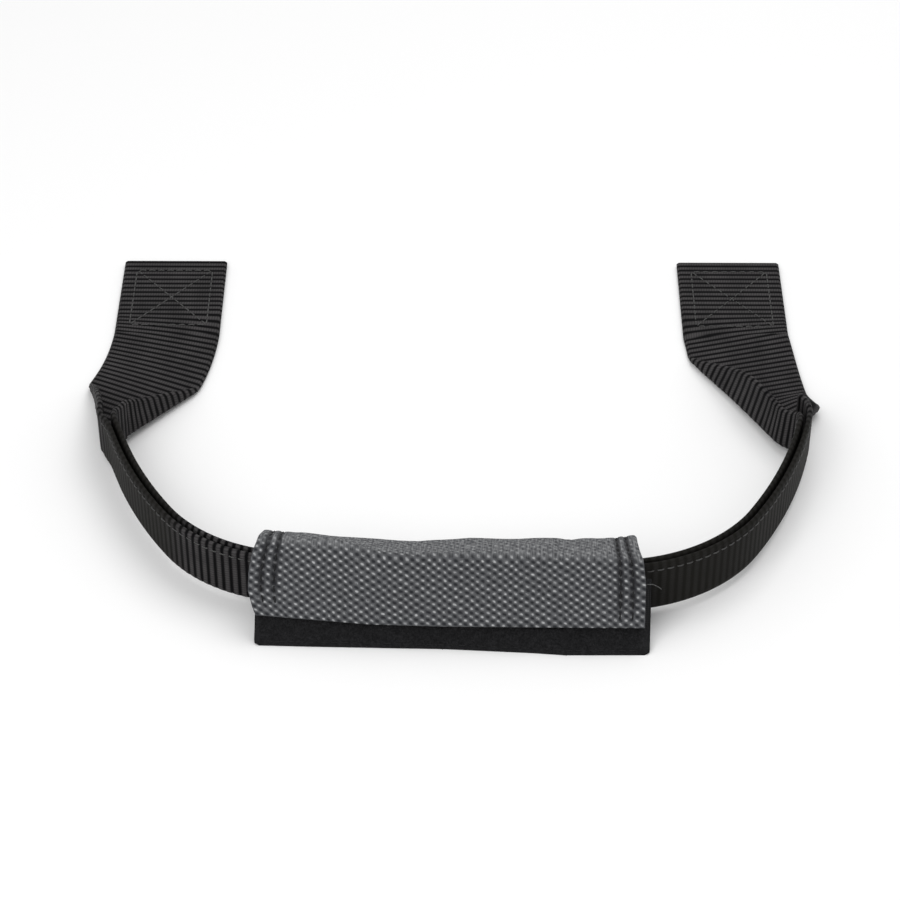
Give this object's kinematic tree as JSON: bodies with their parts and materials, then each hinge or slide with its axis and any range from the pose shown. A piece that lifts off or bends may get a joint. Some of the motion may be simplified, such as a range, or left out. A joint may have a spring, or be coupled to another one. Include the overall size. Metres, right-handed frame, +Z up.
{
  "type": "padded webbing carry handle",
  "caption": "Black ribbed webbing loop folded lengthwise on its edge, ends laid flat for sewing to a case, with a padded grey grip wrapped round its middle and closed by a hook-and-loop flap.",
  "frame": {"origin": "centre of the bounding box in plan, on the surface the handle lies on", "axes": "+X along the grip, +Y from the grip to the case it is fixed to, +Z up from the surface"},
  "size_m": [0.2534, 0.221, 0.0272],
  "materials": {
    "webbing": "heavy ribbed nylon webbing, low sheen on the rib crests",
    "thread": "twisted polyester thread",
    "cover": "coarse grey nylon weave with lighter raised yarns",
    "lining": "plain black lining fabric, matt",
    "foam": "closed-cell foam sheet",
    "loop_tape": "fuzzy black loop tape",
    "hook_tape": "black moulded hooks on a woven tape"
  },
  "bodies": {
    "anchors": {"left_anchor_tab": "webbing", "right_anchor_tab": "webbing", "left_anchor_stitching": "thread", "right_anchor_stitching": "thread"},
    "strap": {"left_shoulder_fold": "webbing", "left_leg": "webbing", "grip_span": "webbing", "right_leg": "webbing", "right_shoulder_fold": "webbing", "left_fold_seam": "thread", "right_fold_seam": "thread"},
    "grip": {"grip_cover": "cover", "grip_foam": "foam", "grip_lining": "lining", "loop_tape": "loop_tape", "loop_tape_stitching": "thread", "left_grip_stitching": "thread", "right_grip_stitching": "thread"},
    "closing_flap": {"flap_cover": "cover", "flap_lining": "lining", "hook_tape": "hook_tape", "hook_tape_stitching": "thread", "left_flap_stitching": "thread", "right_flap_stitching": "thread"}
  },
  "joints": [
    {"name": "handle_swing", "type": "hinge", "parent": "anchors", "child": "strap", "pos_m": [-0.00094, 0.06001, 0.001], "axis": [-0.9994, -0.0349, 0], "range_deg": [0, 90]},
    {"name": "grip_slide", "type": "slide", "parent": "strap", "child": "grip", "axis": [1, 0, 0], "range_m": [-0.005, 0.005]},
    {"name": "flap_open", "type": "hinge", "parent": "grip", "child": "closing_flap", "pos_m": [0.00438, -0.0963, 0.0272], "axis": [-1, 0, 0], "range_deg": [0, 160]}
  ]
}
